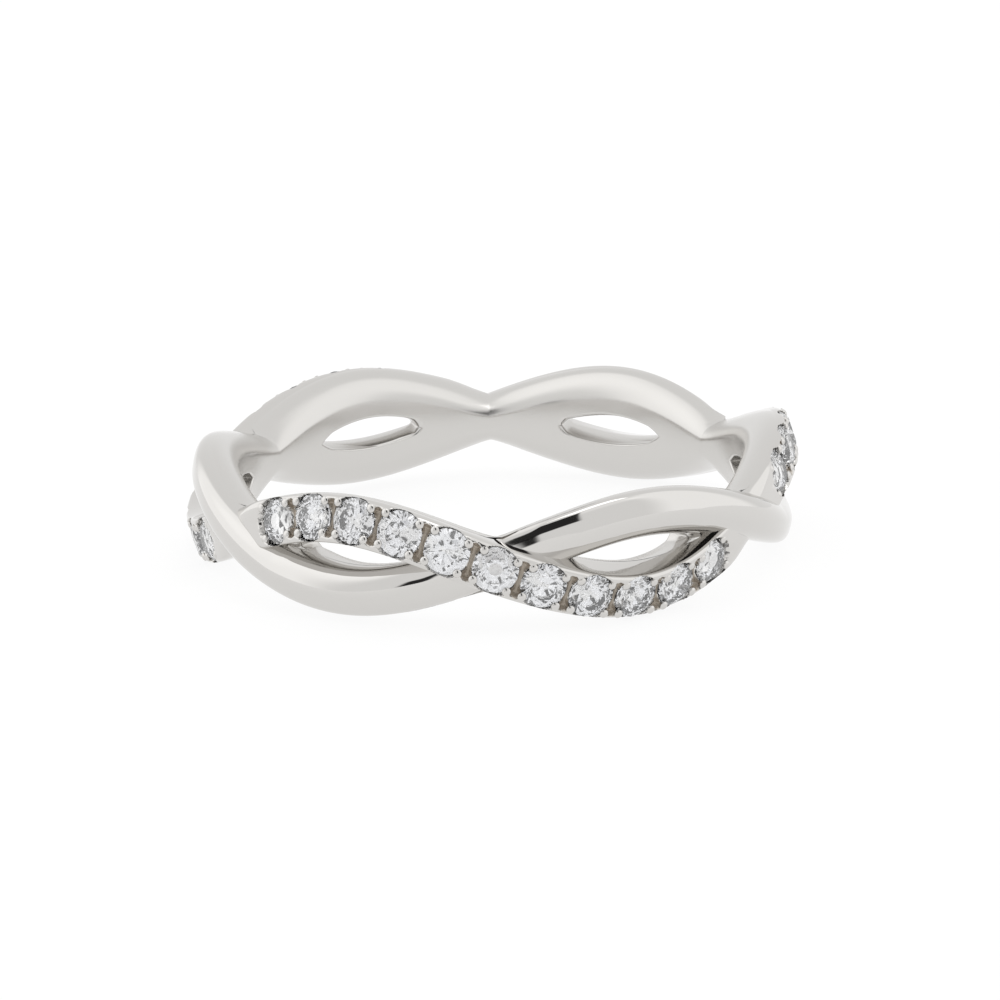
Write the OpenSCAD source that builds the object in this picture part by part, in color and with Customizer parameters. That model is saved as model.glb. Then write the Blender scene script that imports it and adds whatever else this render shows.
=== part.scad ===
// Twist ring: a plain polished strand and a stone set strand wound round each other in a full circle.
// Millimetres. The ring lies on its side, its axis is Z, and the front of the ring faces -Y.

/* [Ring] */
// Inside diameter of the finger hole
hole_dia = 17.2; // [14:0.1:22]
// Turns of the twist round the ring, two crossings each
twists = 3; // [2:1:5]
// How far a strand swings outwards where it crosses over, and inwards where it passes under
swing = 0.28; // [0.1:0.01:0.6]
// How far a strand's inner face leaves the finger hole where it passes under
inner_swing = 0.35; // [0:0.01:0.5]
// Share of the third harmonic in the wave, which shapes its crests
crest = -0.024; // [-0.1:0.002:0.1]

/* [Plain strand] */
// Width of the plain strand across its path
plain_width = 1.52; // [1:0.01:2.4]
// Radial thickness of the plain strand
plain_thick = 1.71; // [1:0.01:2.6]
// Height of the plain strand's wave, from the middle plane to its centre line
plain_rise = 1.04; // [0.6:0.01:2]
// Roll of the plain strand's outer face at a crest, in degrees
plain_roll = 12; // [0:1:40]
// Share by which its outer face is wider, and its inner face narrower, than its middle
plain_flare = 0.22; // [0:0.01:0.3]
// Squareness of its section's outer half: 2 is an ellipse
plain_square = 2.4; // [2:0.1:10]
// Squareness that the side away from the window loses at a crest, and the other side gains
plain_lean = -1.1; // [-2:0.1:3]
// Depth of its inner face inside the finger hole, before the hole is bored
plain_inset = 0.22; // [-0.3:0.01:0.3]

/* [Stone strand] */
// Width of the stone strand across its path
stone_width = 1.53; // [1.2:0.01:2.6]
// Radial thickness of the stone strand
stone_thick = 1.86; // [1.4:0.01:3]
// Height of the stone strand's wave, from the middle plane to its centre line
stone_rise = 1.21; // [0.6:0.01:2]
// Roll of the stone strand's outer face at a crest, in degrees
stone_roll = 17; // [0:1:40]
// Share by which its outer face is wider, and its inner face narrower, than its middle
stone_flare = 0.11; // [0:0.01:0.3]
// Squareness of its section's outer half: 2 is an ellipse
stone_square = 8.1; // [2:0.1:10]
// Squareness that the side away from the window loses at a crest, and the other side gains
stone_lean = 3.8; // [-2:0.1:3]
// Depth of its inner face inside the finger hole, before the hole is bored
stone_inset = -0.05; // [-0.3:0.01:0.3]

/* [Stones] */
// Girdle diameter of a stone
stone_dia = 1.55; // [1:0.05:2]
// Angle round the ring from a row's middle stone to the next
stone_step = 8.8; // [7:0.1:14]
// Growth of that angle towards a row's ends, which keeps the stones evenly apart along the strand
stone_spread = 0.012; // [0:0.002:0.05]
// Stones on each stretch that runs over the plain strand
stones_each = 11; // [3:2:13]
// Depth of the girdle's upper edge below the strand's outer face
girdle_depth = 0.2; // [0.1:0.01:0.4]
// Clearance between a stone and its seat
seat_gap = 0.03; // [0.02:0.005:0.08]

/* [Setting] */
// Radius of the round cutter that makes the grooves between stones
groove_r = 0.2; // [0.1:0.01:0.3]
// Depth of those grooves
groove_depth = 0.32; // [0.1:0.01:0.5]
// Radius of the scallops cut in both edges beside each stone
scallop_r = 0.4; // [0.2:0.01:0.6]
// Depth of the scallops
scallop_depth = 0.32; // [0.1:0.01:0.5]
// Radius of the small beads that hold the stones
bead_r = 0.12; // [0.1:0.01:0.2]
// Distance from a groove's middle to the bead beside it
bead_off = 0.21; // [0.15:0.01:0.4]
// Distance of a bead from the strand's middle line
bead_out = 0.60; // [0.4:0.01:0.9]
// Depth of a bead's middle below the strand's outer face
bead_depth = 0.08; // [0:0.01:0.2]

/* [Windows] */
// Half the angle that a window between the strands takes up
window_half = 14.8; // [8:0.1:26]
// Angle by which a window sits nearer to the crossing where the stone strand is on top
window_shift = 1.2; // [-3:0.1:3]
// Half the height of a window where the strands leave it room
window_rise = 0.72; // [0.3:0.01:1]
// Squareness of a window's outline: 2 is an ellipse
window_square = 2.6; // [2:0.1:5]
// Radial thickness of the metal that rounds off a window's ends
web_thick = 1.35; // [0.3:0.05:1.6]

/* [Section] */
// Squareness of the inner half of both sections: 2 is an ellipse
inner_square = 2.4; // [1.8:0.1:6]
// Cosine of the wave angle from which a strand's outer half turns as round as its inner half, to pass under
tuck_from = 0.85; // [0.5:0.01:0.98]
// Points round a section
section_points = 16; // [12:2:24]
// Sections along each strand
section_count = 84; // [72:12:180]

/* [Hidden] */
hole_r = hole_dia / 2;
stone_r = stone_dia / 2;
plain = 1;
stony = -1;
stone_count = twists * stones_each;
bore_turn = 7.5;

// One stone's proportions
crown_h = 0.145 * stone_dia;
girdle_h = 0.03 * stone_dia;
pavilion_h = 0.43 * stone_dia;
table_r = 0.285 * stone_dia;
star_r = 0.38 * stone_dia;
tip_r = 0.115 * stone_dia;

function two(n) = n < 10 ? str("0", n) : str(n);

// Angles run round the ring from the front (-Y) towards +X.
function out_dir(a) = [sin(a), -cos(a), 0];
function along_dir(a) = [cos(a), sin(a), 0];
function unit(v) = v / norm(v);
function power(x, e) = sign(x) * pow(abs(x), e);

// The two strands share one wave, a half turn apart.
function rise(side) = side == plain ? plain_rise : stone_rise;
function thick(side) = side == plain ? plain_thick : stone_thick;
function width(side) = side == plain ? plain_width : stone_width;
function roll(a, side) = side * (side == plain ? plain_roll : stone_roll) * sin(twists * a);
function wave(a, side) = side * rise(side) * (sin(twists * a) + crest * sin(3 * twists * a));
function wave_slope(a, side) =
    side * rise(side) * twists * (cos(twists * a) + 3 * crest * cos(3 * twists * a));

// The inner face stands a little inside the finger hole, which is bored afterwards.
function inset(side) = side == plain ? plain_inset : stone_inset;
function inner_r(a, side) = hole_r - inset(side) + side * inner_swing * cos(twists * a);
function outer_r(a, side) = hole_r + thick(side) - side * swing * cos(twists * a);
function mid_r(a, side) = (inner_r(a, side) + outer_r(a, side)) / 2;
function depth(a, side) = outer_r(a, side) - inner_r(a, side);

// Centre line and the two directions of a section: across the strand and out of its face.
function centre(a, side) = out_dir(a) * mid_r(a, side) + [0, 0, wave(a, side)];
function run_dir(a, side) = unit(along_dir(a) * mid_r(a, side) + [0, 0, wave_slope(a, side)]);
function flat_across(a, side) = cross(out_dir(a), run_dir(a, side));
function across_dir(a, side) =
    flat_across(a, side) * cos(roll(a, side)) - out_dir(a) * sin(roll(a, side));
function face_dir(a, side) =
    out_dir(a) * cos(roll(a, side)) + flat_across(a, side) * sin(roll(a, side));

// A squared oval, squarer on the outside than inside the finger hole, and wider there.
function flare(side) = side == plain ? plain_flare : stone_flare;
function square_of(side) = side == plain ? plain_square : stone_square;
function lean(side) = side == plain ? plain_lean : stone_lean;
function tuck(a, side) =
    let (t = min(1, max(0, (side * cos(twists * a) - tuck_from) / (1 - tuck_from))))
    t * t * (3 - 2 * t);
function full_square(g, a, side) =
    max(1.7, square_of(side) - lean(side) * sign(cos(g)) * side * sin(twists * a));
function outer_square(g, a, side) =
    full_square(g, a, side) * (1 - tuck(a, side)) + inner_square * tuck(a, side);
function section_point(g, a, side) =
    let (
        e = 2 / (sin(g) > 0 ? outer_square(g, a, side) : inner_square),
        v = power(sin(g), e)
    )
    [width(side) / 2 * power(cos(g), e) * (1 + flare(side) * v), depth(a, side) / 2 * v];

function section_ring(a, side) = [
    for (i = [0:section_points - 1])
        let (q = section_point(360 * (i + 0.5) / section_points, a, side))
        centre(a, side) + across_dir(a, side) * q[0] + face_dir(a, side) * q[1]
];

// Middle of the stone strand's face, and the frame of a stone that stands square on it.
function face_mid(a) = centre(a, stony) + face_dir(a, stony) * depth(a, stony) / 2;
function face_run(a) = unit(face_mid(a + 0.5) - face_mid(a - 0.5));
function face_up(a) =
    let (n = face_dir(a, stony), t = face_run(a))
    unit(n - t * (n * t));
function face_side(a) = cross(face_up(a), face_run(a));

// The stones stand in rows of stones_each, each row centred where the stone strand crosses over.
// A half step back from stone i is the groove before it.
function stone_angle(i, back = 0) =
    let (k = i % stones_each - (stones_each - 1) / 2 - back)
    floor(i / stones_each) * 360 / twists + k * stone_step + k * k * k * stone_spread;

module on_face(a) {
    t = face_run(a);
    s = face_side(a);
    n = face_up(a);
    p = face_mid(a);
    multmatrix([
        [t[0], s[0], n[0], p[0]],
        [t[1], s[1], n[1], p[1]],
        [t[2], s[2], n[2], p[2]],
        [0, 0, 0, 1],
    ]) children();
}

module strand(side) {
    m = section_points;
    points = [
        for (k = [0:section_count - 1])
            each section_ring(360 * k / section_count, side)
    ];
    faces = [
        for (k = [0:section_count - 1], i = [0:m - 1])
            let (k2 = (k + 1) % section_count, i2 = (i + 1) % m)
            each [
                [k * m + i, k2 * m + i2, k * m + i2],
                [k * m + i, k2 * m + i, k2 * m + i2],
            ]
    ];
    polyhedron(points, faces);
}

// A low band between the strands' middle lines, pierced by a window with round ends in each gap.
module webs() {
    n = section_count;
    function half(a) = 0.35 + 0.55 * abs(sin(twists * a));
    points = [
        for (k = [0:n - 1])
            let (a = 360 * k / n, o = out_dir(a), i = hole_r - 0.4, w = hole_r + web_thick, h = half(a))
            each [
                o * i + [0, 0, h],
                o * w + [0, 0, h],
                o * w - [0, 0, h],
                o * i - [0, 0, h],
            ]
    ];
    faces = [
        for (k = [0:n - 1], i = [0:3])
            let (k2 = (k + 1) % n, i2 = (i + 1) % 4)
            each [
                [k * 4 + i, k2 * 4 + i2, k * 4 + i2],
                [k * 4 + i, k2 * 4 + i, k2 * 4 + i2],
            ]
    ];
    reach = hole_r * sin(window_half);
    e = 2 / window_square;
    oval = [
        for (i = [0:31])
            [reach * power(cos(11.25 * i), e), window_rise * power(sin(11.25 * i), e)]
    ];
    difference() {
        polyhedron(points, faces);
        for (k = [0:2 * twists - 1])
            rotate([0, 0, (k + 0.5) * 180 / twists + (k % 2 == 0 ? -1 : 1) * window_shift])
                translate([0, -hole_r + 0.8, 0])
                    rotate([90, 0, 0])
                        linear_extrude(height = web_thick + 2)
                            polygon(oval);
    }
}

// Room for one stone: open above the girdle, and a cone under it that follows the pavilion.
module seat() {
    r = stone_r + seat_gap;
    low = -girdle_depth - girdle_h;
    rotate_extrude($fn = 48)
        polygon([
            [0, low - pavilion_h - seat_gap * 1.5],
            [0.06, low - pavilion_h - seat_gap * 1.5],
            [r, low - seat_gap],
            [r, 0.4],
            [0, 0.4],
        ]);
}

// A round cutter laid across the strand.
module cross_cut(r, down, reach) {
    translate([0, 0, r - down])
        rotate([90, 0, 0])
            cylinder(r = r, h = reach, center = true, $fn = 40);
}

// Four beads raised round each stone.
module beads() {
    for (i = [0:stone_count - 1], x = [-1, 1], y = [-1, 1])
        on_face(stone_angle(i, -x / 2))
            translate([-x * bead_off, y * bead_out, -bead_depth])
                sphere(r = bead_r, $fn = 16);
}

module band() {
    color("silver") {
        difference() {
            union() {
                strand(plain);
                strand(stony);
                webs();
            }
            rotate([0, 0, bore_turn])
                cylinder(r = hole_r, h = 8, center = true, $fn = 180);
            for (i = [0:stone_count - 1])
                on_face(stone_angle(i)) seat();
            for (i = [0:stone_count - 1])
                on_face(stone_angle(i)) cross_cut(scallop_r, scallop_depth, 1.9);
            for (i = [0:stone_count - 1])
                if (i % stones_each > 0)
                    on_face(stone_angle(i, 0.5)) cross_cut(groove_r, groove_depth, 1.9);
        }
        beads();
    }
}

// A round brilliant: table, stars, kites and upper facets, girdle, lower facets and mains to a point.
module brilliant() {
    tan_crown = crown_h / (stone_r - table_r);
    tan_pav = pavilion_h / stone_r;
    star_z = crown_h - (star_r * cos(22.5) - table_r) * tan_crown;
    tip_z = -girdle_h - pavilion_h + tip_r * cos(22.5) * tan_pav;
    points = [
        for (i = [0:7]) [table_r * cos(45 * i), table_r * sin(45 * i), crown_h],
        for (i = [0:7]) [star_r * cos(45 * i + 22.5), star_r * sin(45 * i + 22.5), star_z],
        for (i = [0:15]) [stone_r * cos(22.5 * i), stone_r * sin(22.5 * i), 0],
        for (i = [0:15]) [stone_r * cos(22.5 * i), stone_r * sin(22.5 * i), -girdle_h],
        for (i = [0:7]) [tip_r * cos(45 * i + 22.5), tip_r * sin(45 * i + 22.5), tip_z],
        [0, 0, -girdle_h - pavilion_h],
    ];
    faces = [
        [7, 6, 5, 4, 3, 2, 1, 0],
        for (i = [0:7]) [i, (i + 1) % 8, 8 + i],
        for (i = [0:7]) [i, 8 + i, 16 + 2 * i, 8 + (i + 7) % 8],
        for (i = [0:7]) [8 + i, 17 + 2 * i, 16 + 2 * i],
        for (i = [0:7]) [8 + i, 16 + (2 * i + 2) % 16, 17 + 2 * i],
        for (i = [0:15]) [16 + i, 16 + (i + 1) % 16, 32 + (i + 1) % 16, 32 + i],
        for (i = [0:7]) [32 + 2 * i, 33 + 2 * i, 48 + i],
        for (i = [0:7]) [33 + 2 * i, 32 + (2 * i + 2) % 16, 48 + i],
        for (i = [0:7]) [32 + 2 * i, 48 + i, 56, 48 + (i + 7) % 8],
    ];
    polyhedron(points, faces);
}

module stone(i) {
    color([0.9, 0.95, 1])
        on_face(stone_angle(i))
            translate([0, 0, -girdle_depth])
                brilliant();
}

band();
for (i = [0:stone_count - 1])
    stone(i);
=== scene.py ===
import math
from collections import namedtuple

import bmesh
import bpy
import numpy as np
from mathutils import Matrix, Vector


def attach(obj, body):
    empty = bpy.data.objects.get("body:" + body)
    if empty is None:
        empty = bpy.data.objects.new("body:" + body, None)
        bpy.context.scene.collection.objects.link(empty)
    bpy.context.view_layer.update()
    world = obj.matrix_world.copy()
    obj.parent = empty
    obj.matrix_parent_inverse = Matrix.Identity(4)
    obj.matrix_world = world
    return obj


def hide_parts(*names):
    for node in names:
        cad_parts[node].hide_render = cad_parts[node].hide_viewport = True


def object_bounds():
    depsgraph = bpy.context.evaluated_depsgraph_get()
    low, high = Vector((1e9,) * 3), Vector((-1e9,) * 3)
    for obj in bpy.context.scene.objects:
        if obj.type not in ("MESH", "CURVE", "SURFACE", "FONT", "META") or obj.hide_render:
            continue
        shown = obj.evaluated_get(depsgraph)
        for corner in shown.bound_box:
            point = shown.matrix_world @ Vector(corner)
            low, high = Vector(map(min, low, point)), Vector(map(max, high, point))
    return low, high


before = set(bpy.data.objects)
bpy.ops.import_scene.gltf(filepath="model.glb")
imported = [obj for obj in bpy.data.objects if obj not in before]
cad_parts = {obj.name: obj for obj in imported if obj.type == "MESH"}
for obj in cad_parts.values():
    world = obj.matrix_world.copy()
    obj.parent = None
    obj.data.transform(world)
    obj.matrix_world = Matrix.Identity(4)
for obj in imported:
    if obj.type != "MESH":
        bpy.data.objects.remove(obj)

bl_info = {
    "name": "Twist ring",
    "version": (1, 0, 0),
    "blender": (4, 5, 0),
    "location": "3D View > Sidebar > Twist ring",
    "description": "A finger ring of one plain and one stone set strand wound round each other",
    "category": "Add Mesh",
}

MM = 0.001
FULL_TURN = 2 * math.pi
CAD_BOX = [list(map(float, corner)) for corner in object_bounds()]
STONES = sorted(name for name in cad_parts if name.startswith("stone_"))
BAND = "band"
METAL_NAME = "rhodium_plated_white_gold"
# The sign of a strand's wave: one strand climbs where the other falls
PLAIN, STONY = 1, -1


# Sizes and colours that a user would change

def millimetres(name, text, value):
    """A length property whose default is given in millimetres."""
    return bpy.props.FloatProperty(
        name=name, description=text, default=value * MM, unit="LENGTH", precision=5)


def number(name, text, value):
    """A plain number property."""
    return bpy.props.FloatProperty(name=name, description=text, default=value, precision=3)


def degrees(name, text, value):
    """An angle property whose default is given in degrees."""
    return bpy.props.FloatProperty(
        name=name, description=text, default=math.radians(value), unit="ROTATION")


def whole(name, text, value):
    """A whole number property."""
    return bpy.props.IntProperty(name=name, description=text, default=value)


def colour(name, text, value):
    """A colour property, written as sRGB hex."""
    return bpy.props.StringProperty(name=name, description=text + ", as sRGB hex", default=value)


class TwistSizes(bpy.types.PropertyGroup):
    hole: millimetres("Finger hole", "Inside radius of the finger hole", 8.6)
    swing: millimetres("Swing", "How far a strand swings out where it crosses over", 0.28)
    inner_swing: millimetres("Inner swing", "How far an inner face leaves the hole to pass under", 0.35)
    crest: number("Crest", "Share of the third harmonic in the wave", -0.024)
    twists: whole("Twists", "Turns of the twist round the ring", 3)
    inner_square: number("Inner squareness", "Squareness of a section's inner half", 2.4)
    tuck_from: number("Tuck", "Cosine of the wave angle from which a strand rounds off to pass under", 0.85)
    window_half: degrees("Window half angle", "Half the angle that a window takes up", 13.7)
    window_shift: degrees("Window shift", "How far a window sits towards the end with stones on top", 1.2)
    window_rise: millimetres("Window rise", "Half the height of a window", 0.72)
    window_square: number("Window squareness", "Squareness of a window's outline", 2.4)
    web_thick: millimetres("Web thickness", "Radial thickness of the metal at a window's ends", 1.35)
    comfort: number("Comfort", "Growth of the hole's radius in metres, times the height squared", 75.0)
    inner_round: millimetres("Inner rounding", "Height over which the inside rounds off to an edge", 0.95)
    blend: millimetres("Blend", "How softly the strands' edges run into each other at a crossing", 0.05)
    fillet: number("Fillet", "Growth of the blend with the distance from an edge", 0.7)


class PlainStrandSizes(bpy.types.PropertyGroup):
    width: millimetres("Width", "Width across the strand", 1.52)
    thick: millimetres("Thickness", "Radial thickness", 1.71)
    rise: millimetres("Rise", "Height of the wave", 1.04)
    roll: degrees("Roll", "Roll of the outer face at a crest", 12)
    flare: number("Flare", "Share by which the outer face is wider than the middle", 0.22)
    square: number("Squareness", "Squareness of the section's outer half", 2.4)
    lean: number("Lean", "Squareness that the side away from the window loses at a crest", -1.1)
    inset: millimetres("Inset", "Depth of the inner face inside the finger hole", 0.22)


class StoneStrandSizes(bpy.types.PropertyGroup):
    width: millimetres("Width", "Width across the strand", 1.53)
    thick: millimetres("Thickness", "Radial thickness", 1.86)
    rise: millimetres("Rise", "Height of the wave", 1.21)
    roll: degrees("Roll", "Roll of the outer face at a crest", 17)
    flare: number("Flare", "Share by which the outer face is wider than the middle", 0.11)
    square: number("Squareness", "Squareness of the section's outer half", 8.1)
    lean: number("Lean", "Squareness that the side away from the window loses at a crest", 3.8)
    inset: millimetres("Inset", "Depth of the inner face inside the finger hole", -0.05)


class SettingSizes(bpy.types.PropertyGroup):
    stone: millimetres("Stone", "Girdle radius of a stone", 0.775)
    step: degrees("Step", "Angle from a row's middle stone to the next", 8.8)
    spread: degrees("Spread", "Growth of that angle towards a row's ends", 0.012)
    each: whole("Stones", "Stones on each stretch that runs over", 11)
    girdle: millimetres("Girdle depth", "Depth of a girdle below the strand's face", 0.2)
    rim: millimetres("Rim", "Width over which a seat flares out to the strand's face", 0.07)
    groove: millimetres("Groove", "Half width of the groove between stones", 0.13)
    groove_depth: millimetres("Groove depth", "Depth of that groove", 0.33)
    bead: millimetres("Bead", "Radius of a bead's dome", 0.2)
    bead_off: millimetres("Bead offset", "From a groove's middle to the bead beside it", 0.27)
    bead_out: millimetres("Bead distance", "From the strand's middle line to a bead", 0.53)
    bead_depth: millimetres("Bead depth", "Depth of the dome's centre below the strand's face", 0.172)


class Finish(bpy.types.PropertyGroup):
    metal: colour("White gold", "Colour of the plated metal", "#D1CFCC")
    # Painted light: a lighter tone put in the seats under the stones, so that the stones read brighter
    seat: colour("Seats", "Colour of the bright cut metal under the stones", "#F2F1EE")
    # Painted shade: a darker brownish tone put in the grooves between the stones, where shade falls
    groove: colour("Grooves", "Colour of the dull metal in the grooves between the stones", "#B0A699")
    diamond: colour("Stones", "Colour of the stones", "#F6F7FA")
    floor: colour("Floor", "Colour of the floor", "#626262")


class CameraPlace(bpy.types.PropertyGroup):
    turn: degrees("Turn", "How far round the ring the camera stands, from the front to the right", -0.195)
    lift: degrees("Lift", "How far above the ring's plane it stands", 15.371)
    tip: degrees("Tip", "How far it is tipped about its own axis", -1.661)
    away: millimetres("Distance", "From the camera to the point that it looks at", 170.251)
    right_by: millimetres("Right", "How far right of the ring's middle that point lies", 0.253)
    up_by: millimetres("Up", "How far above the ring's middle that point lies", -0.533)
    focal: number("Focal length", "Focal length in widths of the picture", 4.91194)


# Geometry: whole arrays on a grid, in millimetres until a mesh is made

def unit(v):
    """v divided by its length, along the last axis."""
    return v / np.linalg.norm(v, axis=-1, keepdims=True)


def power(x, e):
    """x to the power e with its sign kept."""
    return np.sign(x) * np.abs(x) ** e


def smooth_step(x, low, high):
    """0 below low, 1 above high, and t * t * (3 - 2 * t) between."""
    t = np.clip((x - low) / (high - low), 0, 1)
    return t * t * (3 - 2 * t)


def soft_most(x, y, soft):
    """The greater of two values, blended where they come within soft of each other."""
    top = np.maximum(x, y)
    return top + soft * np.log(np.exp((x - top) / soft) + np.exp((y - top) / soft))


def rounding(d, wide, tall):
    """How far a round edge falls away at distance d from it: tall * (1 - sqrt(1 - (1 - d / wide) ** 2))."""
    q = 1 - np.clip(d / wide, 0, 1)
    return tall * (1 - (1 - q ** 2) ** 0.5)


def evened(x, span=3):
    """Means of x over 2 * span + 1 places round a closed line."""
    return np.mean([np.roll(x, k) for k in range(-span, span + 1)], 0)


class Strand:
    """The sizes of one strand, in millimetres and radians."""

    def __init__(self, side):
        scene = bpy.context.scene
        s, own = scene.twist_sizes, scene.plain_strand if side == PLAIN else scene.stone_strand
        self.side, self.twists, self.crest, self.inner_square = side, s.twists, s.crest, s.inner_square
        self.hole, self.swing, self.inner_swing = s.hole / MM, s.swing / MM, s.inner_swing / MM
        self.width, self.thick, self.rise = own.width / MM, own.thick / MM, own.rise / MM
        self.roll, self.flare, self.square, self.lean = own.roll, own.flare, own.square, own.lean
        self.inset, self.tuck_from = own.inset / MM, s.tuck_from


def strand_frame(a, k):
    """Centre line, direction across, direction out of the face and depth of strand k at the angles a.

    The height is rise * (sin 3a + crest * sin 9a). The outer radius is hole + thickness - swing * cos 3a
    and the inner one is hole - inset + inner swing * cos 3a, all with the strand's sign. The section stands
    square on the centre line and rolls by roll * sin 3a about it.
    """
    n = k.twists
    out = np.stack([np.sin(a), -np.cos(a), np.zeros_like(a)], -1)
    along = np.stack([np.cos(a), np.sin(a), np.zeros_like(a)], -1)
    up = np.array([0.0, 0.0, 1.0])
    z = k.side * k.rise * (np.sin(n * a) + k.crest * np.sin(3 * n * a))
    climb = k.side * k.rise * n * (np.cos(n * a) + 3 * k.crest * np.cos(3 * n * a))
    inner = k.hole - k.inset + k.side * k.inner_swing * np.cos(n * a)
    outer = k.hole + k.thick - k.side * k.swing * np.cos(n * a)
    middle, depth = (inner + outer) / 2, outer - inner
    run = unit(along * middle[:, None] + up * climb[:, None])
    flat = np.cross(out, run)
    roll = (k.side * k.roll * np.sin(n * a))[:, None]
    across = flat * np.cos(roll) - out * np.sin(roll)
    face = out * np.cos(roll) + flat * np.sin(roll)
    return out * middle[:, None] + up * z[:, None], across, face, depth


def squared_oval(a, g, k):
    """Places across and out, in millimetres, of the section's points g at each angle of a.

    A point is (cos g ** (2 / e), sin g ** (2 / e)) with signs kept. Inside, e is the inner squareness.
    Outside, it is the outer one less lean * sin 3a on the upper side, and eases to the inner one where the
    strand passes under. The width grows by flare from the middle to the face.
    """
    least_square = 1.7
    wave = k.side * np.sin(k.twists * a)[:, None]
    c, d = np.cos(g), np.sin(g)
    tuck = smooth_step(k.side * np.cos(k.twists * a)[:, None], k.tuck_from, 1)
    outer = np.maximum(least_square, k.square - k.lean * np.sign(c) * wave)
    e = 2 / np.where(d > 0, outer * (1 - tuck) + k.inner_square * tuck, k.inner_square)
    v = power(d, e)
    return k.width / 2 * power(c, e) * (1 + k.flare * v), v * strand_frame(a, k)[3][:, None] / 2


def even_turns(count, k, a, weight, fine=1440):
    """For each angle of a, count section parameters at equal steps along the section's outline.

    A step's length is multiplied by the weight of its place, from -1 at the inner face to 1 at the outer.
    """
    g = np.linspace(-math.pi / 2, 1.5 * math.pi, fine + 1)
    u, v = squared_oval(a, g[None, :], k)
    half = np.abs(v).max(1, keepdims=True)
    step = np.hypot(np.diff(u), np.diff(v)) * weight((v[:, 1:] + v[:, :-1]) / 2 / half)
    run = np.concatenate([np.zeros((len(a), 1)), np.cumsum(step, 1)], 1)
    at = (np.arange(count) + 0.5) / count
    return np.stack([np.interp(at * r[-1], r, g) for r in run])


def section_points(count, k, a, weight=np.ones_like, stops=120):
    """Places across and out of count evenly spaced section points, worked out at the stops and blended."""
    knots = np.linspace(0, FULL_TURN, stops + 1)
    turns = even_turns(count, k, knots, weight)
    g = np.stack([np.interp(a % FULL_TURN, knots, column) for column in turns.T], 1)
    return squared_oval(a, g, k)


def carried(a, k, u, v):
    """The section's points, u across and v out at each angle of a, carried to their places round the ring."""
    centre, across, face, _ = strand_frame(a, k)
    return centre[:, None] + across[:, None] * u[..., None] + face[:, None] * v[..., None]


def make_mesh(name, points, faces, smooth=True):
    """A mesh object at the origin from points in millimetres and equal sided faces."""
    if not len(faces) or not np.isfinite(points).all():
        raise RuntimeError(name + " has no proper shape")
    mesh = bpy.data.meshes.new(name)
    sides = faces.shape[1]
    mesh.vertices.add(len(points))
    mesh.vertices.foreach_set("co", (points * MM).astype(np.float32).ravel())
    mesh.loops.add(faces.size)
    mesh.loops.foreach_set("vertex_index", faces.astype(np.int32).ravel())
    mesh.polygons.add(len(faces))
    mesh.polygons.foreach_set("loop_start", np.arange(0, faces.size, sides, dtype=np.int32))
    mesh.polygons.foreach_set("use_smooth", np.full(len(faces), smooth))
    mesh.update()
    mesh.validate()
    piece = bpy.data.objects.new(name, mesh)
    bpy.context.scene.collection.objects.link(piece)
    return piece


def ring_mesh(name, points):
    """A closed tube from a grid of points: rings in the first axis, sides in the second."""
    n, m = points.shape[:2]
    i, j = np.meshgrid(np.arange(n), np.arange(m), indexing="ij")
    i2, j2 = (i + 1) % n, (j + 1) % m
    quads = np.stack([i * m + j, i * m + j2, i2 * m + j2, i2 * m + j], -1).reshape(-1, 4)
    return make_mesh(name, points.reshape(-1, 3), quads)


# The smooth inside of the band

class Edges:
    """Heights and radii of a strand's lowest and highest lines, at any angle round the ring.

    Each is a mean of the section's points weighted by exp(height / sharp), which stays smooth where the
    highest point changes. Points on the outer part of the section don't count.
    """

    def __init__(self, k):
        overlap, steps = 0.4, 1440
        inwards, outwards, count = -0.5, 0.9, 141
        sharp, outer_from, never = 0.004, 0.3, 9
        a = np.linspace(-overlap, FULL_TURN + overlap, steps)
        near = np.linspace(inwards, outwards, count)
        both = []
        for side, g in ((-1, math.pi - near), (1, near)):
            u, v = squared_oval(a, g[None, :], k)
            p = carried(a, k, u, v)
            reach = side * p[..., 2] - np.where(v > outer_from * k.thick, never, 0)
            share = np.exp((reach - reach.max(1, keepdims=True)) / sharp)
            share /= share.sum(1, keepdims=True)
            both.append((p * share[..., None]).sum(1))
        p = np.stack(both, 1)
        turn = np.unwrap(np.arctan2(p[..., 0], -p[..., 1]), axis=0)
        self.a = turn - np.round((turn[0] - a[0]) / FULL_TURN) * FULL_TURN
        self.z, self.r = p[..., 2], np.hypot(p[..., 0], p[..., 1])

    def height(self, a, side):
        """Height of the lower (side 0) or upper (side 1) line at the angles a."""
        return np.interp(a % FULL_TURN, self.a[:, side], self.z[:, side])

    def reach(self, a, side):
        """Radius of that line at the angles a."""
        return np.interp(a % FULL_TURN, self.a[:, side], self.r[:, side])


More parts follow.
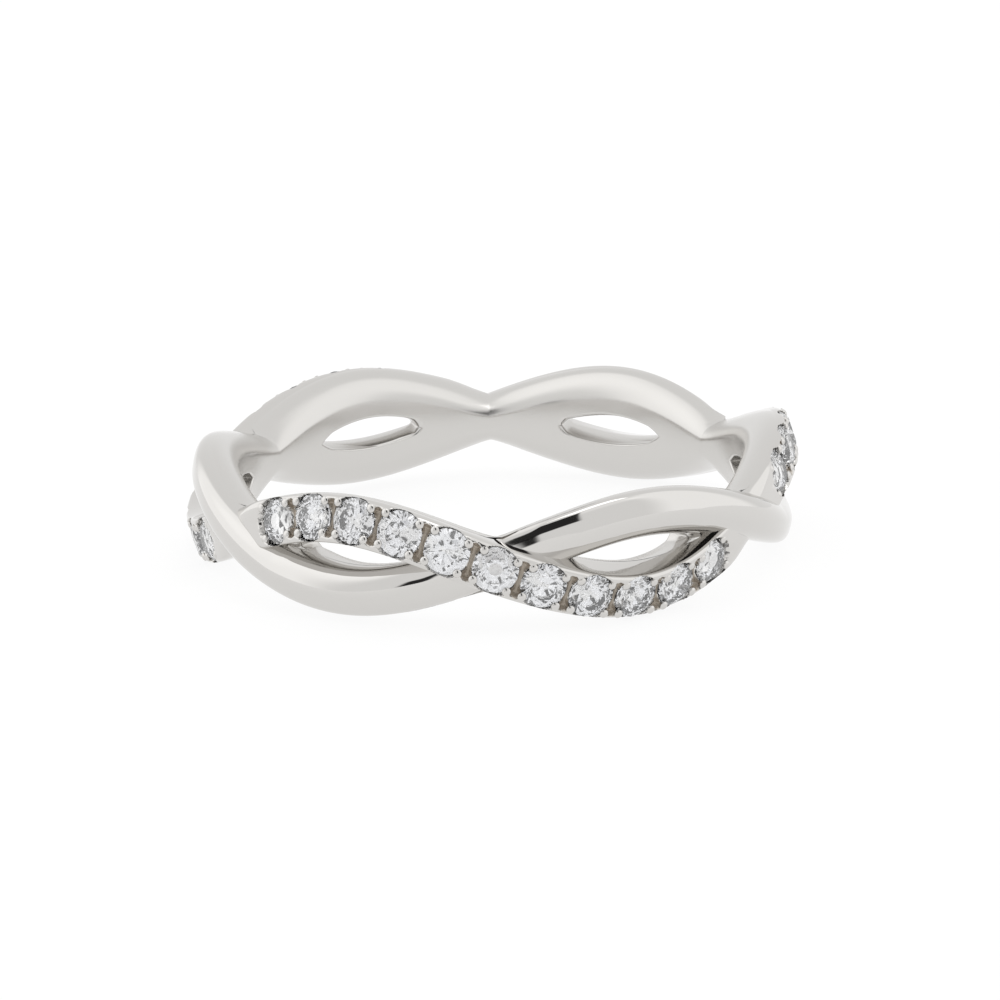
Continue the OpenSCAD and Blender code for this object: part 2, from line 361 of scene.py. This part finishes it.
class Inside:
    """The smooth inside of the band in cylinder coordinates.

    It is a finger hole that bulges inwards a little along its middle, rounded off to the lines where the
    strands are highest and lowest, which blend at the crossings.
    """

    def __init__(self):
        s = bpy.context.scene.twist_sizes
        self.plain, self.stony = Edges(Strand(PLAIN)), Edges(Strand(STONY))
        self.hole, self.comfort = s.hole / MM, s.comfort * MM
        self.wide, self.blend, self.fillet = s.inner_round / MM, s.blend / MM, s.fillet

    def edge(self, a, side, soft):
        """Height of the band's lower (side 0) or upper (side 1) edge at the angles a."""
        sign = 1 if side else -1
        return sign * soft_most(sign * self.plain.height(a, side), sign * self.stony.height(a, side), soft)

    def radius(self, a, z):
        """hole + comfort * z * z + what the rounding to the lower and to the upper edge falls away.

        The blend of the strands' edges grows with the distance from the edge, so that a valley runs out
        softly.
        """
        deepest, crossover, most = 0.8, 0.3, 40
        wall = self.hole + self.comfort * z * z
        r = wall
        for side, sign in ((0, -1), (1, 1)):
            p, q = sign * self.plain.height(a, side), sign * self.stony.height(a, side)
            d = np.clip(np.maximum(p, q) - sign * z, 0, deepest)
            d = sign * (self.edge(a, side, self.blend + self.fillet * d) - z)
            share = 1 / (1 + np.exp(np.clip((q - p) / crossover, -most, most)))
            edge_r = self.plain.reach(a, side) * share + self.stony.reach(a, side) * (1 - share)
            r = r + rounding(d, self.wide, edge_r - wall)
        return r


def behind_inside(points, v, depth, inside):
    """A strand's points, with the inner part of the section moved out to stay hidden behind the inside."""
    cover, inner_part = 0.03, 0.6
    turn = np.arctan2(points[..., 0], -points[..., 1])
    r = np.hypot(points[..., 0], points[..., 1])
    least = inside.radius(turn, points[..., 2]) + cover
    grow = np.where(v < inner_part * depth / 2, np.maximum(r, least), r) / r
    return points * np.stack([grow, grow, np.ones_like(grow)], -1)


def closed(over, under):
    """A line round a window: over on its upper side, and back by under on its lower side."""
    return np.concatenate([over, under[::-1][1:-1]])


class Window:
    """One of the band's windows with the metal round it, in cylinder coordinates.

    Each lies between two crossings. Window 0 starts at the ring's front, where the stones are on top, and
    the strands change places from each window to the next.
    """

    def __init__(self, cell, inside, places=112):
        s = bpy.context.scene.twist_sizes
        pitch = math.pi / s.twists
        shift = s.window_shift if cell % 2 else -s.window_shift
        self.low_end, self.high_end, self.mid = cell * pitch, (cell + 1) * pitch, (cell + 0.5) * pitch + shift
        self.half, self.rise, self.square = s.window_half, s.window_rise / MM, s.window_square
        self.inside, self.back = inside, inside.hole + s.web_thick / MM
        self.upper, self.lower = (inside.stony, inside.plain) if cell % 2 else (inside.plain, inside.stony)
        self.t = np.arange(places // 2 + 1) / (places // 2)

    def outline(self):
        """Angles, heights, share of web and signed half height round the window.

        It is the gap between the strands, cut short at both ends by rise * (1 - x ** e) ** (1 / e), where x
        runs from 0 in the middle to 1 at an end. Where that leaves metal over or under it, there is a web.
        """
        corner, least_gap, tip, full_web, steps = 0.04, 0.03, 0.02, 0.12, 801
        fine = np.linspace(self.mid - self.half, self.mid + self.half, steps)
        e = self.square
        oval = self.rise * (1 - np.abs((fine - self.mid) / self.half) ** e) ** (1 / e)
        ceiling, ground = self.upper.height(fine, 0), self.lower.height(fine, 1)
        top, low = -soft_most(-oval, -ceiling, corner), soft_most(-oval, ground, corner)
        gap = top - low
        open_at = np.nonzero(gap > least_gap)[0]
        first, last = fine[open_at[0]], fine[open_at[-1]]
        place = (first + last) / 2 - (last - first) / 2 * np.cos(self.t * math.pi)
        close = np.sqrt(np.clip(np.minimum(place - first, last - place) / tip, 0, 1))
        middle = np.interp(place, fine, (top + low) / 2)
        reach = np.interp(place, fine, gap) / 2 * close
        high, deep = middle + reach, middle - reach
        upper_web = smooth_step(np.interp(place, fine, ceiling) - high, 0, full_web)
        lower_web = smooth_step(deep - np.interp(place, fine, ground), 0, full_web)
        return closed(place, place), closed(high, deep), closed(upper_web, lower_web), closed(reach, -reach)

    def border(self):
        """Angles and heights of the sheet's outer border: the band's edges, joined at both crossings."""
        side, inside = 0.2, self.inside
        along = np.interp(self.t, [side, 1 - side], [self.low_end, self.high_end])
        climb = np.interp(self.t, [0, side, 1 - side, 1], [0, 1, 1, 0])
        over, under = (inside.edge(along, edge, inside.blend) * climb for edge in (1, 0))
        return closed(along, along)[:, None], closed(over, under)[:, None]

    def sheet(self, wall_rows=6, inner_rows=40, lip_rows=6):
        """Angles, heights and radii of the grid round the window, from the outside in.

        It starts with the outer lip of the webs, goes on with the window's wall, and ends with the inside
        up to the band's edges and the crossings. Along a strand the wall starts on the strand's own lowest
        or highest line, and at a web it turns to the outside.
        """
        steepest, wall_curve = 0.15, 1.5
        rim_least, rim_more = 0.07, 0.3
        lip_round, lip_reach, lip_curve = 0.3, 0.34, 1.4
        tuck, tuck_in = 0.06, 0.997
        edge_a, edge_z, web, reach = self.outline()
        edge_a, edge_z = evened(edge_a), evened(edge_z)
        strand_r = np.where(reach > 0, self.upper.reach(edge_a, 0), self.lower.reach(edge_a, 1))
        strand_r, web = evened(strand_r)[:, None], evened(web, 8)
        taper = (np.sign(reach) * np.minimum(steepest, np.abs(reach)) * (1 - web))[:, None]
        edge_a, edge_z, web = edge_a[:, None], edge_z[:, None], web[:, None]
        border_a, border_z = self.border()

        f = (1 - np.cos(np.linspace(0, math.pi, inner_rows))) / 2
        rim_z = edge_z + taper
        a = edge_a * (1 - f) + border_a * f
        z = rim_z * (1 - f) + border_z * f
        away = np.hypot((a - edge_a) * self.inside.hole, z - rim_z)
        rim = rim_least + rim_more * web
        r = self.inside.radius(a, z) + rounding(away, rim, rim)

        down = (np.arange(wall_rows) / wall_rows)[None, :]
        top_r = strand_r * (1 - web) + (self.back - lip_round) * web
        wall_r = top_r * (1 - down) + r[:, :1] * down
        wall_z = edge_z + taper * down ** wall_curve

        out = np.linspace(1, 0, lip_rows, endpoint=False)[None, :]
        spread = lip_reach * out ** lip_curve * web
        lip_a = edge_a * (1 - spread) + border_a * spread
        lip_z = edge_z * (1 - spread) + border_z * spread
        gone = np.hypot((lip_a - edge_a) * self.inside.hole, lip_z - edge_z)
        lip_r = (self.back - rounding(gone, lip_round, lip_round)) * web + (strand_r + tuck * out) * (1 - web)

        return (np.concatenate([lip_a, np.repeat(edge_a, wall_rows, 1), a, a[:, -1:]], 1),
                np.concatenate([lip_z, wall_z, z, z[:, -1:] * tuck_in], 1),
                np.concatenate([lip_r, wall_r, r, r[:, -1:] + tuck], 1))


def inside_mesh(name):
    """The inside of the band: one sheet round each window, welded where they meet at the crossings."""
    inside, weld = Inside(), 0.002 * MM
    points, faces, start = [], [], 0
    for cell in range(2 * bpy.context.scene.twist_sizes.twists):
        a, z, r = Window(cell, inside).sheet()
        n, m = a.shape
        points.append(np.stack([r * np.sin(a), -r * np.cos(a), z], -1).reshape(-1, 3))
        i, j = np.meshgrid(np.arange(n), np.arange(m - 1), indexing="ij")
        here, ahead = i * m + j + start, (i + 1) % n * m + j + start
        faces.append(np.stack([here, here + 1, ahead + 1, ahead], -1).reshape(-1, 4))
        start += n * m
    piece = make_mesh(name, np.concatenate(points), np.concatenate(faces))
    grid = bmesh.new()
    grid.from_mesh(piece.data)
    bmesh.ops.remove_doubles(grid, verts=grid.verts, dist=weld)
    grid.to_mesh(piece.data)
    grid.free()
    return piece


# The two strands and the setting

def plain_grid(k, rings=540, sides=64):
    """Grid of the plain strand, a hair narrower and thinner than the solid's, to stay inside it."""
    narrower, thinner = 0.998, 0.974
    a = np.arange(rings) * FULL_TURN / rings
    u, v = section_points(sides, k, a)
    points = carried(a, k, u * narrower, v * np.where(v > 0, thinner, 1.0))
    return behind_inside(points, v, strand_frame(a, k)[3][:, None], Inside())


def stone_angles(back=0.0):
    """Angles of all stones, or of the places that many steps before them.

    A row's k-th place from its middle lies step * k + spread * k ** 3 from where the stone strand crosses
    over.
    """
    s, twists = bpy.context.scene.setting_sizes, bpy.context.scene.twist_sizes.twists
    k = np.arange(s.each) - (s.each - 1) / 2 - back
    row = k * s.step + k ** 3 * s.spread
    return (np.arange(twists)[:, None] * FULL_TURN / twists + row[None, :]).ravel()


def strand_angles(twists, cell, between=12):
    """Angles of the stone strand's sections: cell of them a stone, and a few where there are no stones."""
    before, after = stone_angles(0.5), stone_angles(-0.5)
    share = (np.arange(cell) + 0.5) / cell
    cells = (before[:, None] + (after - before)[:, None] * share[None, :]).ravel()
    last, first = after.reshape(twists, -1)[:, -1], before.reshape(twists, -1)[:, 0] + FULL_TURN / twists
    bare = last[:, None] + (first - last)[:, None] * (np.arange(1, between) / between)[None, :]
    return np.sort(np.concatenate([cells, bare.ravel()]))


def face_line(k, steps=7200):
    """Angles and path lengths along the middle line of a strand's face, finely stepped."""
    a = np.linspace(-math.pi / 2, 2.5 * math.pi, steps + 1)
    centre, _, face, depth = strand_frame(a, k)
    line = centre + face * depth[:, None] / 2
    return a, np.concatenate([[0], np.cumsum(np.linalg.norm(np.diff(line, axis=0), axis=1))])


def nearest(run, places):
    """Distance along the strand from each path length to the nearest of some places."""
    return np.abs(run[:, None] - places[None, :]).min(1)[:, None]


def seat_height(d, s):
    """Height of a seat above the strand's face at distance d from its middle, and where the seat itself is.

    It is a cone that rises to the girdle, then a steep rim that flares out to the face.
    """
    clear, room, under, slope = 1.0, 0.008, 0.075, 0.86
    past = d - s.stone / MM - room
    girdle, rim = s.girdle / MM + under, s.rim / MM
    flared = np.where(past < rim, -girdle * (1 - past / rim), clear)
    return np.where(past < 0, past * slope - girdle, flared), past < 0


def groove_height(g, u, s):
    """Height of a groove above the strand's face at g from its own middle line and u from the strand's.

    Its floor is middle - sqrt(w * w - g * g). The half width w grows towards both ends of the groove, and the
    groove fades out before the strand's edges.
    """
    clear, ramp, waist, swell = 1.0, 0.035, 0.75, 0.75
    swell_from, swell_to, fade_to = 0.3, 0.5, 0.7
    fade = smooth_step(np.abs(u), swell_to, fade_to)
    w = s.groove / MM * (waist + swell * smooth_step(np.abs(u), swell_from, swell_to)) * (1 - fade / 2)
    middle = w - s.groove_depth / MM * (1 - fade)
    floor = middle - np.sqrt(np.maximum(w * w - g * g, 0))
    return np.where(g < w, floor, np.where(g < w + ramp, middle * (1 - (g - w) / ramp), clear))


def set_strand(k, cell=36, sides=76):
    """Grid of the stone strand, and each point's share of painted shade in a groove and painted light in a
    seat.

    It is the strand's section carried round the ring, with every point above a cut lowered to the lowest cut.
    Points lie closer together on the face than elsewhere.
    """
    s = bpy.context.scene.setting_sizes
    full_painted_tone, face_from, face_weight = 0.06, 0.7, 3.2
    a = strand_angles(k.twists, cell)
    u, v = section_points(sides, k, a, lambda v: np.where(v > face_from, face_weight, 1.0))
    fine_a, fine_run = face_line(k)
    groove_angles = stone_angles(0.5).reshape(k.twists, -1)[:, 1:].ravel()
    run, stones, grooves = (np.interp(x, fine_a, fine_run) for x in (a, stone_angles(), groove_angles))
    seat, in_seat = seat_height(np.hypot(nearest(run, stones), u), s)
    groove = groove_height(nearest(run, grooves), u, s)
    half = strand_frame(a, k)[3][:, None] / 2
    lowered = np.where(v > 0, np.minimum(v, np.maximum(half + np.minimum(seat, groove), 0)), v)
    # How far a point was cut down sets how strongly a groove's painted shade or a seat's painted light shows
    # on it
    tone = np.clip((v - lowered) / full_painted_tone, 0, 1)
    points = behind_inside(carried(a, k, u, lowered), lowered, 2 * half, Inside())
    return points, tone * (groove < seat), tone * (in_seat & (groove >= seat))


def square_frame(a, k):
    """Middle of the face and three directions standing square on it, at the angles a."""
    step = 0.01
    here, ahead, behind = (strand_frame(a + d, k) for d in (0, step, -step))
    spot, after, before = (f[0] + f[2] * f[3][:, None] / 2 for f in (here, ahead, behind))
    run = unit(after - before)
    up = unit(here[2] - run * (here[2] * run).sum(-1, keepdims=True))
    return spot, run, np.cross(up, run), up


def bead_shape(s, rings=8, sides=16):
    """Points and triangles of one bead, standing on a face at height 0.

    It is a flat dome (r * sin t, r * cos t - depth) on a foot that narrows into the metal.
    """
    r, depth, dome = s.bead / MM, s.bead_depth / MM, math.radians(52)
    foot_wide, foot_tall = r * np.array([0.66, 0.45]), np.array([-0.1, -0.2])
    t, p = np.linspace(0, dome, rings)[1:], np.arange(sides) * FULL_TURN / sides
    wide = np.concatenate([r * np.sin(t), foot_wide])
    tall = np.concatenate([r * np.cos(t) - depth, foot_tall])
    rounds = [np.outer(wide, np.cos(p)), np.outer(wide, np.sin(p)), np.outer(tall, np.ones(sides))]
    tip, base = [[0, 0, r - depth]], [[0, 0, foot_tall[-1]]]
    points = np.concatenate([tip, np.stack(rounds, -1).reshape(-1, 3), base])
    j = np.arange(sides)
    j2 = (j + 1) % sides
    above = np.arange(len(wide) - 1)[:, None] * sides + 1
    below, last, bottom = above + sides, len(points) - 1 - sides, len(points) - 1
    faces = np.concatenate([
        np.stack([np.zeros(sides, int), 1 + j, 1 + j2], -1),
        np.stack([above + j, below + j, below + j2], -1).reshape(-1, 3),
        np.stack([above + j, below + j2, above + j2], -1).reshape(-1, 3),
        np.stack([last + j, np.full(sides, bottom), last + j2], -1)])
    return points, faces


def bead_grid(k):
    """All beads in one mesh: four round each stone, standing square on the strand's face."""
    s = bpy.context.scene.setting_sizes
    before, after = stone_angles(0.5), stone_angles(-0.5)
    a = np.concatenate([before, before, after, after])
    x = np.repeat([1, 1, -1, -1], len(before)) * s.bead_off / MM
    y = np.repeat([1, -1, 1, -1], len(before)) * s.bead_out / MM
    spot, run, side, up = (part[:, None] for part in square_frame(a, k))
    bead, faces = bead_shape(s)
    place = bead[None] + np.stack([x, y, np.zeros_like(x)], -1)[:, None]
    points = spot + place[..., :1] * run + place[..., 1:2] * side + place[..., 2:] * up
    starts = np.arange(len(a)) * len(bead)
    return points.reshape(-1, 3), (faces[None] + starts[:, None, None]).reshape(-1, 3)


# Materials

def linear(code):
    """An sRGB hex colour as linear red, green, blue and alpha."""
    c = np.array([int(code[i:i + 2], 16) for i in (1, 3, 5)]) / 255
    c = np.where(c <= 0.04045, c / 12.92, ((c + 0.055) / 1.055) ** 2.4)
    return (*map(float, c), 1.0)


def add(tree, kind, settings=None, **links):
    """Adds a node, sets its properties and sockets, and links sockets named in links to outputs.

    A number, as a key or after an underscore, is a socket's number.
    """
    node = tree.nodes.new(kind)
    for name, value in (settings or {}).items():
        if isinstance(name, int) or name in node.inputs:
            node.inputs[name].default_value = value
        else:
            setattr(node, name, value)
    for name, output in links.items():
        key = int(name[1:]) if name[0] == "_" else name.replace("_", " ")
        tree.links.new(output, node.inputs[key])
    return node


def fresh(name):
    """An empty node tree in a new material, with its output."""
    m = bpy.data.materials.new(name)
    m.use_nodes = True
    m.node_tree.nodes.clear()
    return m, m.node_tree, m.node_tree.nodes.new("ShaderNodeOutputMaterial")


def from_axis(t, place):
    """Distance from the ring's axis: the root of x * x + y * y."""
    split = add(t, "ShaderNodeSeparateXYZ", _0=place)
    x, y = split.outputs["X"], split.outputs["Y"]
    xx = add(t, "ShaderNodeMath", {"operation": "MULTIPLY"}, _0=x, _1=x)
    both = add(t, "ShaderNodeMath", {"operation": "MULTIPLY_ADD"}, _0=y, _1=y, _2=xx.outputs[0])
    return add(t, "ShaderNodeMath", {"operation": "SQRT"}, _0=both.outputs[0]).outputs[0]


def white_gold():
    """Cast white gold, hand polished and rhodium plated.

    The eye gets a bright mirror with a trace of warmth and faint polishing waves, and a softer sheen
    inside the finger hole. The grooves between the stones are rougher and less metallic, with a darker
    brownish tone painted in as shade, and the seats carry a lighter tone painted in as light under the
    stones.
    """
    softer_inside, duller_groove, lost_shine = 0.2, 0.3, 0.6
    wave_length, wave_depth = 0.9 * MM, 0.02 * MM
    all_inside, all_outside = 9.0 * MM, 9.8 * MM
    finish = bpy.context.scene.ring_finish
    m, t, out = fresh(METAL_NAME)
    place = add(t, "ShaderNodeTexCoord").outputs["Object"]
    inside = add(t, "ShaderNodeMapRange", {"From Min": all_outside, "From Max": all_inside},
                 Value=from_axis(t, place))
    waves = add(t, "ShaderNodeTexNoise", {"Scale": 1 / wave_length, "Detail": 3.0, "Roughness": 0.55},
                Vector=place).outputs["Fac"]
    polish = add(t, "ShaderNodeMapRange", {
        "From Min": 0.3, "From Max": 0.7, "To Min": 0.03, "To Max": 0.055}, Value=waves)
    bump = add(t, "ShaderNodeBump", {"Strength": 0.05, "Distance": wave_depth}, Height=waves)
    groove, seat = (add(t, "ShaderNodeAttribute", {"attribute_name": name}).outputs["Fac"]
                    for name in ("groove", "seat"))
    rough = add(t, "ShaderNodeMath", {"operation": "MULTIPLY_ADD", 1: softer_inside},
                _0=inside.outputs[0], _2=polish.outputs[0])
    rough = add(t, "ShaderNodeMath", {"operation": "MULTIPLY_ADD", 1: duller_groove},
                _0=groove, _2=rough.outputs[0])
    shine = add(t, "ShaderNodeMath", {"operation": "MULTIPLY_ADD", 1: -lost_shine, 2: 1.0}, _0=groove)
    # Painted shade: a darker brownish tone in the grooves between the stones
    tone = add(t, "ShaderNodeMix", {
        "data_type": "RGBA", 6: linear(finish.metal), 7: linear(finish.groove)}, _0=groove)
    # Painted light: a lighter tone in the seats under the stones, so that the stones read brighter
    tone = add(t, "ShaderNodeMix", {"data_type": "RGBA", 7: linear(finish.seat)}, _0=seat, _6=tone.outputs[2])
    shader = add(t, "ShaderNodeBsdfPrincipled", Base_Color=tone.outputs[2], Metallic=shine.outputs[0],
                 Roughness=rough.outputs[0], Normal=bump.outputs[0])
    t.links.new(shader.outputs[0], out.inputs["Surface"])
    return m


def diamond():
    """Colourless diamond, brilliant cut and polished. The eye gets clear, sharp facets of light and dark."""
    m, t, out = fresh("cut_diamond")
    shader = add(t, "ShaderNodeBsdfPrincipled", {
        "Base Color": linear(bpy.context.scene.ring_finish.diamond),
        "Roughness": 0.0, "IOR": 2.417, "Transmission Weight": 0.97})
    t.links.new(shader.outputs[0], out.inputs["Surface"])
    return m


def paper_sweep():
    """Matt white paper sweep in even light, partly its own glow: a plain, pale ground without gloss."""
    m, t, out = fresh("matt_white_paper")
    shader = add(t, "ShaderNodeBsdfPrincipled", {
        "Base Color": linear(bpy.context.scene.ring_finish.floor),
        "Roughness": 0.9, "Specular IOR Level": 0.1,
        "Emission Color": (1.0, 1.0, 1.0, 1.0), "Emission Strength": 0.88})
    t.links.new(shader.outputs[0], out.inputs["Surface"])
    return m


def dress(piece):
    """Gives a new piece of the band its metal and ties it to the ring."""
    piece.data.materials.append(bpy.data.materials.get(METAL_NAME) or white_gold())
    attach(piece, "root")
    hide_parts(BAND)


# Stage

# Bright panels of the light tent by their edges in degrees, from the front round to the right and up
Panel = namedtuple("Panel", "left right low high soft gain")
PANELS = (
    Panel(left=-143, right=-61, low=-14, high=72, soft=9, gain=0.34),
    Panel(left=-116, right=-76, low=30, high=62, soft=10, gain=0.10),
    Panel(left=58, right=122, low=-14, high=68, soft=9, gain=0.27),
    Panel(left=10, right=66, low=50, high=74, soft=8, gain=0.16),
)
# Dark slots in it: the upright edges lean to the left by so many degrees for each degree of height
Slot = namedtuple("Slot", "left lean_left right lean_right low high")
SLOTS = (
    Slot(left=5, lean_left=0.5, right=24, lean_right=0.2, low=18, high=64),
    Slot(left=4.3, lean_left=0.41, right=9, lean_right=0.41, low=1, high=20),
    Slot(left=-34.5, lean_left=0, right=-26, lean_right=0, low=-5, high=12),
)


def between(t, value, low, high, soft):
    """1 where value lies between two angles in degrees, with soft ends."""
    low, high, soft = map(math.radians, (low, high, soft))
    rise, fall = (add(t, "ShaderNodeMapRange", {
        "From Min": start, "From Max": end, "interpolation_type": "SMOOTHSTEP"}, Value=value).outputs[0]
        for start, end in ((low - soft, low + soft), (high + soft, high - soft)))
    return add(t, "ShaderNodeMath", {"operation": "MULTIPLY"}, _0=rise, _1=fall).outputs[0]


def light_tent(scene):
    """A white tent all round, with bright panels beside and above the ring, and dark slots in its cloth.

    The light is the tent's level plus each panel's gain, times what each slot keeps.
    """
    tent_level, darkness, slot_soft, half_turn = 0.96, 0.97, 1.5, 180
    world = bpy.data.worlds.new("light_tent")
    scene.world = world
    world.use_nodes = True
    t = world.node_tree
    t.nodes.clear()
    out = t.nodes.new("ShaderNodeOutputWorld")
    split = add(t, "ShaderNodeSeparateXYZ", _0=add(t, "ShaderNodeTexCoord").outputs["Generated"])
    front = add(t, "ShaderNodeMath", {"operation": "MULTIPLY", 1: -1.0}, _0=split.outputs["Y"]).outputs[0]
    turn = add(t, "ShaderNodeMath", {"operation": "ARCTAN2"}, _0=split.outputs["X"], _1=front).outputs[0]
    tall = add(t, "ShaderNodeMath", {"operation": "ARCSINE"}, _0=split.outputs["Z"]).outputs[0]
    level = add(t, "ShaderNodeValue").outputs[0]
    level.default_value = tent_level
    for p in PANELS:
        panel = add(t, "ShaderNodeMath", {"operation": "MULTIPLY"},
                    _0=between(t, turn, p.left, p.right, p.soft), _1=between(t, tall, p.low, p.high, p.soft))
        level = add(t, "ShaderNodeMath", {"operation": "MULTIPLY_ADD", 1: p.gain},
                    _0=panel.outputs[0], _2=level).outputs[0]
    for s in SLOTS:
        left, right = (add(t, "ShaderNodeMath", {"operation": "MULTIPLY_ADD", 1: lean},
                           _0=tall, _2=turn).outputs[0] for lean in (s.lean_left, s.lean_right))
        sides = add(t, "ShaderNodeMath", {"operation": "MULTIPLY"},
                    _0=between(t, left, s.left, half_turn, slot_soft),
                    _1=between(t, right, -half_turn, s.right, slot_soft))
        dark = add(t, "ShaderNodeMath", {"operation": "MULTIPLY"},
                   _0=sides.outputs[0], _1=between(t, tall, s.low, s.high, slot_soft))
        keep = add(t, "ShaderNodeMath", {"operation": "MULTIPLY_ADD", 1: -darkness, 2: 1.0},
                   _0=dark.outputs[0])
        level = add(t, "ShaderNodeMath", {"operation": "MULTIPLY"}, _0=keep.outputs[0], _1=level).outputs[0]
    sky = add(t, "ShaderNodeBackground", {"Color": (1.0, 1.0, 1.0, 1.0)}, Strength=level)
    t.links.new(sky.outputs[0], out.inputs["Surface"])


def softbox(name, place, aim, wide, tall, watts):
    """A rectangular area light that faces a point, in metres."""
    data = bpy.data.lights.new(name, "AREA")
    data.shape, data.size, data.size_y, data.energy = "RECTANGLE", wide, tall, watts
    light = bpy.data.objects.new(name, data)
    light.location = place
    light.rotation_euler = (Vector(aim) - Vector(place)).to_track_quat("-Z", "Y").to_euler()
    bpy.context.scene.collection.objects.link(light)


def photo_camera(scene):
    """The camera where the photo was taken from: a long lens, a little above the ring, tipped slightly."""
    film_width, nearest_seen, furthest_seen = 36.0, 0.005, 20.0
    c = scene.ring_camera
    right = Vector((math.cos(c.turn), math.sin(c.turn), 0))
    front = Vector((math.sin(c.turn), -math.cos(c.turn), 0))
    back = front * math.cos(c.lift) + Vector((0, 0, math.sin(c.lift)))
    up = back.cross(right)
    across = right * math.cos(c.tip) + up * math.sin(c.tip)
    above = up * math.cos(c.tip) - right * math.sin(c.tip)
    spot = right * c.right_by + Vector((0, 0, c.up_by)) + back * c.away
    data = bpy.data.cameras.new("photo_camera")
    data.sensor_width, data.lens = film_width, c.focal * film_width
    data.clip_start, data.clip_end = nearest_seen, furthest_seen
    camera = bpy.data.objects.new("photo_camera", data)
    camera.matrix_world = Matrix((
        (across.x, above.x, back.x, spot.x),
        (across.y, above.y, back.y, spot.y),
        (across.z, above.z, back.z, spot.z),
        (0, 0, 0, 1)))
    scene.collection.objects.link(camera)
    scene.camera = camera


# Operators

class RING_OT_plain_strand(bpy.types.Operator):
    """Makes the plain polished strand"""
    bl_idname = "twist_ring.plain_strand"
    bl_label = "Plain strand"

    def execute(self, context):
        dress(ring_mesh("plain_strand", plain_grid(Strand(PLAIN))))
        return {"FINISHED"}


class RING_OT_stone_strand(bpy.types.Operator):
    """Makes the other strand, with seats and grooves cut for the stones"""
    bl_idname = "twist_ring.stone_strand"
    bl_label = "Stone strand"

    def execute(self, context):
        sharp_from = math.radians(50)
        points, groove, seat = set_strand(Strand(STONY))
        piece = ring_mesh("stone_strand", points)
        # The metal's colour reads these shares: painted shade in the grooves, painted light in the seats
        for name, share in (("groove", groove), ("seat", seat)):
            mark = piece.data.attributes.new(name, "FLOAT", "POINT")
            mark.data.foreach_set("value", share.astype(np.float32).ravel())
        piece.data.set_sharp_from_angle(angle=sharp_from)
        dress(piece)
        return {"FINISHED"}


class RING_OT_inside(bpy.types.Operator):
    """Makes the smooth inside of the band, with its windows"""
    bl_idname = "twist_ring.inside"
    bl_label = "Inside"

    def execute(self, context):
        dress(inside_mesh("inside"))
        return {"FINISHED"}


class RING_OT_beads(bpy.types.Operator):
    """Makes the beads raised round the stones"""
    bl_idname = "twist_ring.beads"
    bl_label = "Beads"

    def execute(self, context):
        dress(make_mesh("beads", *bead_grid(Strand(STONY))))
        return {"FINISHED"}


class RING_OT_stones(bpy.types.Operator):
    """Gives the cut stones their material"""
    bl_idname = "twist_ring.stones"
    bl_label = "Stones"

    def execute(self, context):
        clear = diamond()
        for name in STONES:
            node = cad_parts[name]
            node.data.materials.clear()
            node.data.materials.append(clear)
        return {"FINISHED"}


class RING_OT_stage(bpy.types.Operator):
    """Sets up the floor, the light and the camera"""
    bl_idname = "twist_ring.stage"
    bl_label = "Stage"

    def execute(self, context):
        scene = context.scene
        far, gap = 1500, 0.004
        low = CAD_BOX[0][2] / MM - gap
        corners = np.array([[-far, -far, low], [far, -far, low], [far, far, low], [-far, far, low]])
        floor = make_mesh("floor", corners, np.array([[0, 1, 2, 3]]), smooth=False)
        floor.data.materials.append(paper_sweep())
        light_tent(scene)
        softbox("top_box", place=(0.02, -0.02, 0.30), aim=(0, 0, 0), wide=0.14, tall=0.10, watts=0.05)
        photo_camera(scene)
        scene.view_settings.view_transform = "Standard"
        return {"FINISHED"}


class RING_PT_panel(bpy.types.Panel):
    """Lists the ring's pieces, sizes and colours"""
    bl_idname = "RING_PT_panel"
    bl_label = "Twist ring"
    bl_space_type = "VIEW_3D"
    bl_region_type = "UI"
    bl_category = "Twist ring"

    def draw(self, context):
        for step in STEPS:
            self.layout.operator(step.bl_idname)
        for name, kind in GROUPS.items():
            box = self.layout.box()
            for size in kind.__annotations__:
                box.prop(getattr(context.scene, name), size)


STEPS = (RING_OT_plain_strand, RING_OT_stone_strand, RING_OT_inside, RING_OT_beads, RING_OT_stones,
         RING_OT_stage)
GROUPS = {
    "twist_sizes": TwistSizes,
    "plain_strand": PlainStrandSizes,
    "stone_strand": StoneStrandSizes,
    "setting_sizes": SettingSizes,
    "ring_finish": Finish,
    "ring_camera": CameraPlace,
}
CLASSES = (*GROUPS.values(), *STEPS, RING_PT_panel)


def register():
    """Registers the classes and puts their groups of sizes on the scene."""
    for kind in CLASSES:
        bpy.utils.register_class(kind)
    for name, kind in GROUPS.items():
        setattr(bpy.types.Scene, name, bpy.props.PointerProperty(type=kind))


def unregister():
    """Takes away what register made."""
    for name in GROUPS:
        delattr(bpy.types.Scene, name)
    for kind in reversed(CLASSES):
        bpy.utils.unregister_class(kind)


def main():
    register()
    for step in STEPS:
        group, name = step.bl_idname.split(".")
        getattr(getattr(bpy.ops, group), name)()
    bpy.context.view_layer.update()


if __name__ == "__main__":
    main()
